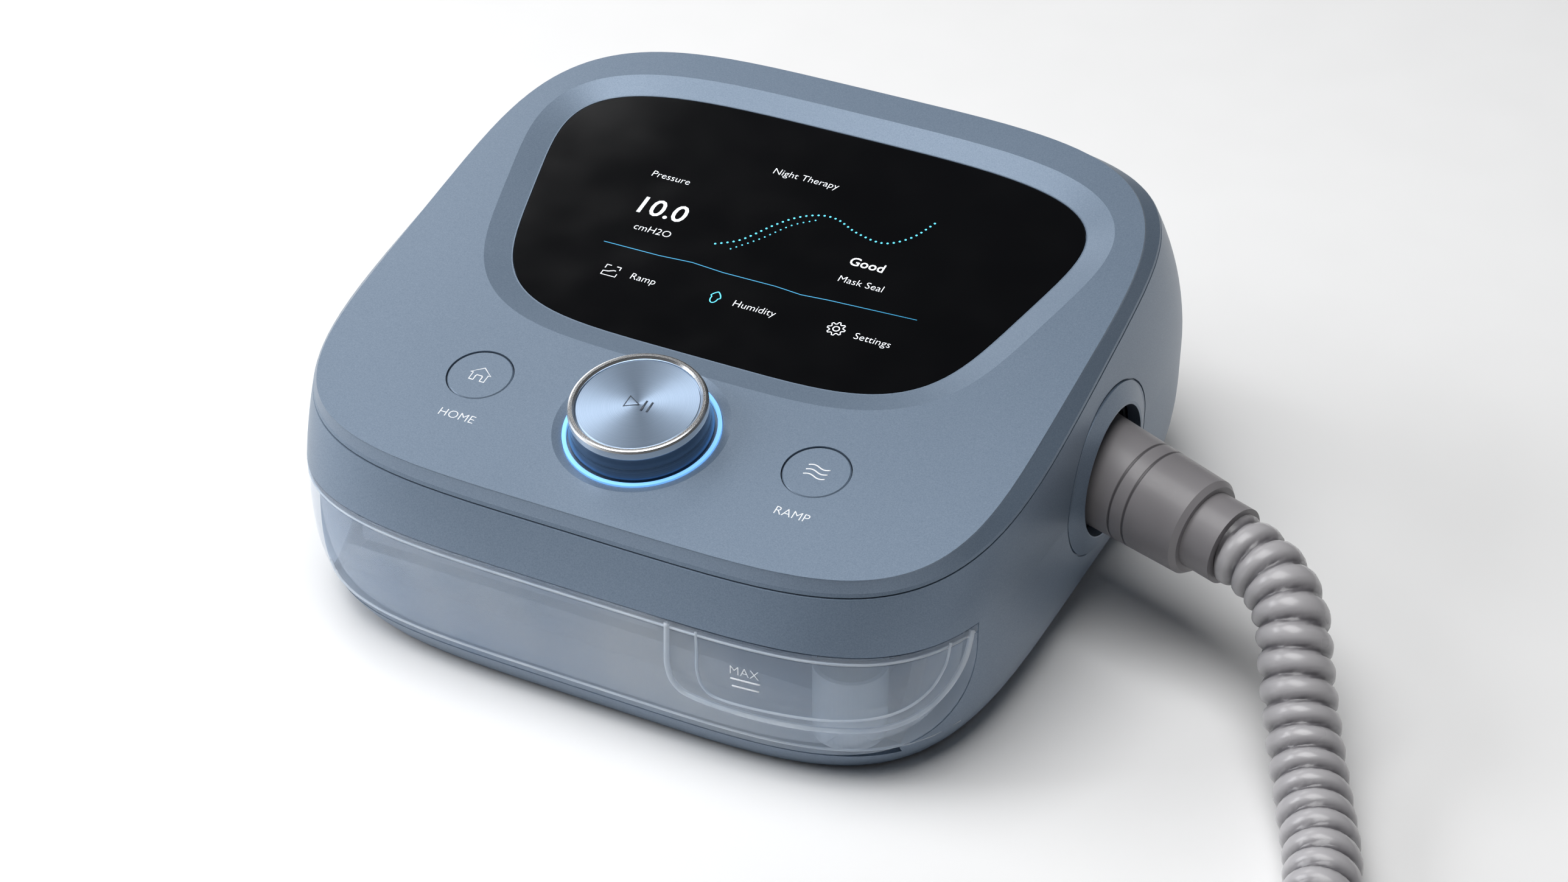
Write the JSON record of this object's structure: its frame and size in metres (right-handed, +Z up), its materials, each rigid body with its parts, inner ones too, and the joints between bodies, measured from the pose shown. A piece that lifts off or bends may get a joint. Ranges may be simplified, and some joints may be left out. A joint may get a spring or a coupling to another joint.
{
  "type": "mechanical ventilator",
  "caption": "Bedside positive-pressure ventilator with tilted touch screen deck, push-turn knob, sliding clear humidifier tank and coiled air hose.",
  "frame": {"origin": "centre of the footprint, on the surface the feet stand on", "axes": "+Z up, +X to the hose side, -Y to the user"},
  "size_m": [0.3183, 0.5178, 0.0986],
  "materials": {
    "housing_plastic": "satin blue-grey with a fine metallic grain",
    "tank_clear": "clear moulded plastic",
    "screen_black": "gloss black glass",
    "display": "unlit display",
    "light_strip": "diffusing light guide",
    "knob_steel_blue": "satin blue steel",
    "knob_chrome": "polished",
    "knob_spun": "spun brushed",
    "steel": "zinc plated",
    "dark_plastic": "fine texture",
    "duct_plastic": "moulded",
    "aluminium": "brushed",
    "motor_iron": "laminated",
    "circuit_board": "solder mask",
    "components": "moulded packages",
    "silicone": "soft silicone",
    "foot_rubber": "matte rubber",
    "filter_foam": "fibrous pad",
    "hose_rubber": "satin grey",
    "hose_plastic": "ribbed grey",
    "strap": "woven strap"
  },
  "bodies": {
    "housing": {"base_shell": "housing_plastic", "upper_housing": "housing_plastic", "top_cover": "housing_plastic", "screen_glass": "screen_black", "lcd_module": "display", "light_ring": "light_strip", "housing_screws": "steel", "display_screws": "steel", "main_board_screws": "steel", "rotor_bearings": "steel", "chassis": "dark_plastic", "encoder_body": "dark_plastic", "tact_switches": "dark_plastic", "heater_frame": "dark_plastic", "port_liner": "dark_plastic", "filter_box": "dark_plastic", "power_socket": "dark_plastic", "outlet_spigot": "dark_plastic", "blower_lower": "duct_plastic", "blower_upper": "duct_plastic", "inlet_duct": "duct_plastic", "blower_outlet": "duct_plastic", "humid_duct": "duct_plastic", "heater_plate": "aluminium", "motor_stator": "motor_iron", "display_board": "circuit_board", "main_board": "circuit_board", "flow_sensor": "circuit_board", "board_parts": "components", "tank_port_seals": "silicone", "blower_mounts": "silicone", "rubber_feet": "foot_rubber", "air_filter": "filter_foam", "hose_collar": "hose_rubber", "mask_cuff": "hose_rubber", "hose_tube": "hose_plastic", "hose_coil": "hose_plastic", "hose_tie": "strap"},
    "knob_carriage": {"encoder_plunger": "dark_plastic"},
    "knob": {"knob_shaft": "steel", "knob_skirt": "knob_steel_blue", "knob_ring": "knob_chrome", "knob_disc": "knob_spun"},
    "home_key": {"home_button": "housing_plastic", "home_plunger": "dark_plastic"},
    "ramp_key": {"ramp_button": "housing_plastic", "ramp_plunger": "dark_plastic"},
    "tank": {"tank_tub": "tank_clear", "tank_lid": "tank_clear", "tank_seal": "silicone", "tank_heat_base": "aluminium", "tank_baffle": "tank_clear"},
    "rotor": {"impeller": "duct_plastic", "rotor_shaft": "steel", "rotor_magnet": "motor_iron"},
    "filter_door": {"filter_cover": "housing_plastic"},
    "swivel": {"hose_sleeve": "hose_rubber"}
  },
  "joints": [
    {"name": "knob_push", "type": "slide", "parent": "housing", "child": "knob_carriage", "axis": [0, 0.1908, -0.9816], "range_m": [0, 0.0008], "stiffness_N_per_m": 1500, "springref_m": -0.0006},
    {"name": "knob_turn", "type": "hinge", "parent": "knob_carriage", "child": "knob", "pos_m": [0, -0.06606, 0.07061], "axis": [0, -0.1908, 0.9816], "continuous": true},
    {"name": "home_press", "type": "slide", "parent": "housing", "child": "home_key", "axis": [0, 0.1908, -0.9816], "range_m": [0, 0.0008], "stiffness_N_per_m": 800, "springref_m": -0.0005},
    {"name": "ramp_press", "type": "slide", "parent": "housing", "child": "ramp_key", "axis": [0, 0.1908, -0.9816], "range_m": [0, 0.0008], "stiffness_N_per_m": 800, "springref_m": -0.0005},
    {"name": "tank_slide", "type": "slide", "parent": "housing", "child": "tank", "axis": [0, -1, 0], "range_m": [0, 0.091]},
    {"name": "impeller_spin", "type": "hinge", "parent": "housing", "child": "rotor", "pos_m": [-0.018, 0.045, 0.02], "axis": [0, 0, 1], "continuous": true},
    {"name": "filter_door_swing", "type": "hinge", "parent": "housing", "child": "filter_door", "pos_m": [-0.0602, 0.1024, 0.027], "axis": [0, 0, 1], "range_deg": [0, 90]},
    {"name": "swivel_turn", "type": "hinge", "parent": "housing", "child": "swivel", "pos_m": [0.1045, 0.0043, 0.044], "axis": [0.9498, -0.3086, -0.0523], "continuous": true}
  ]
}
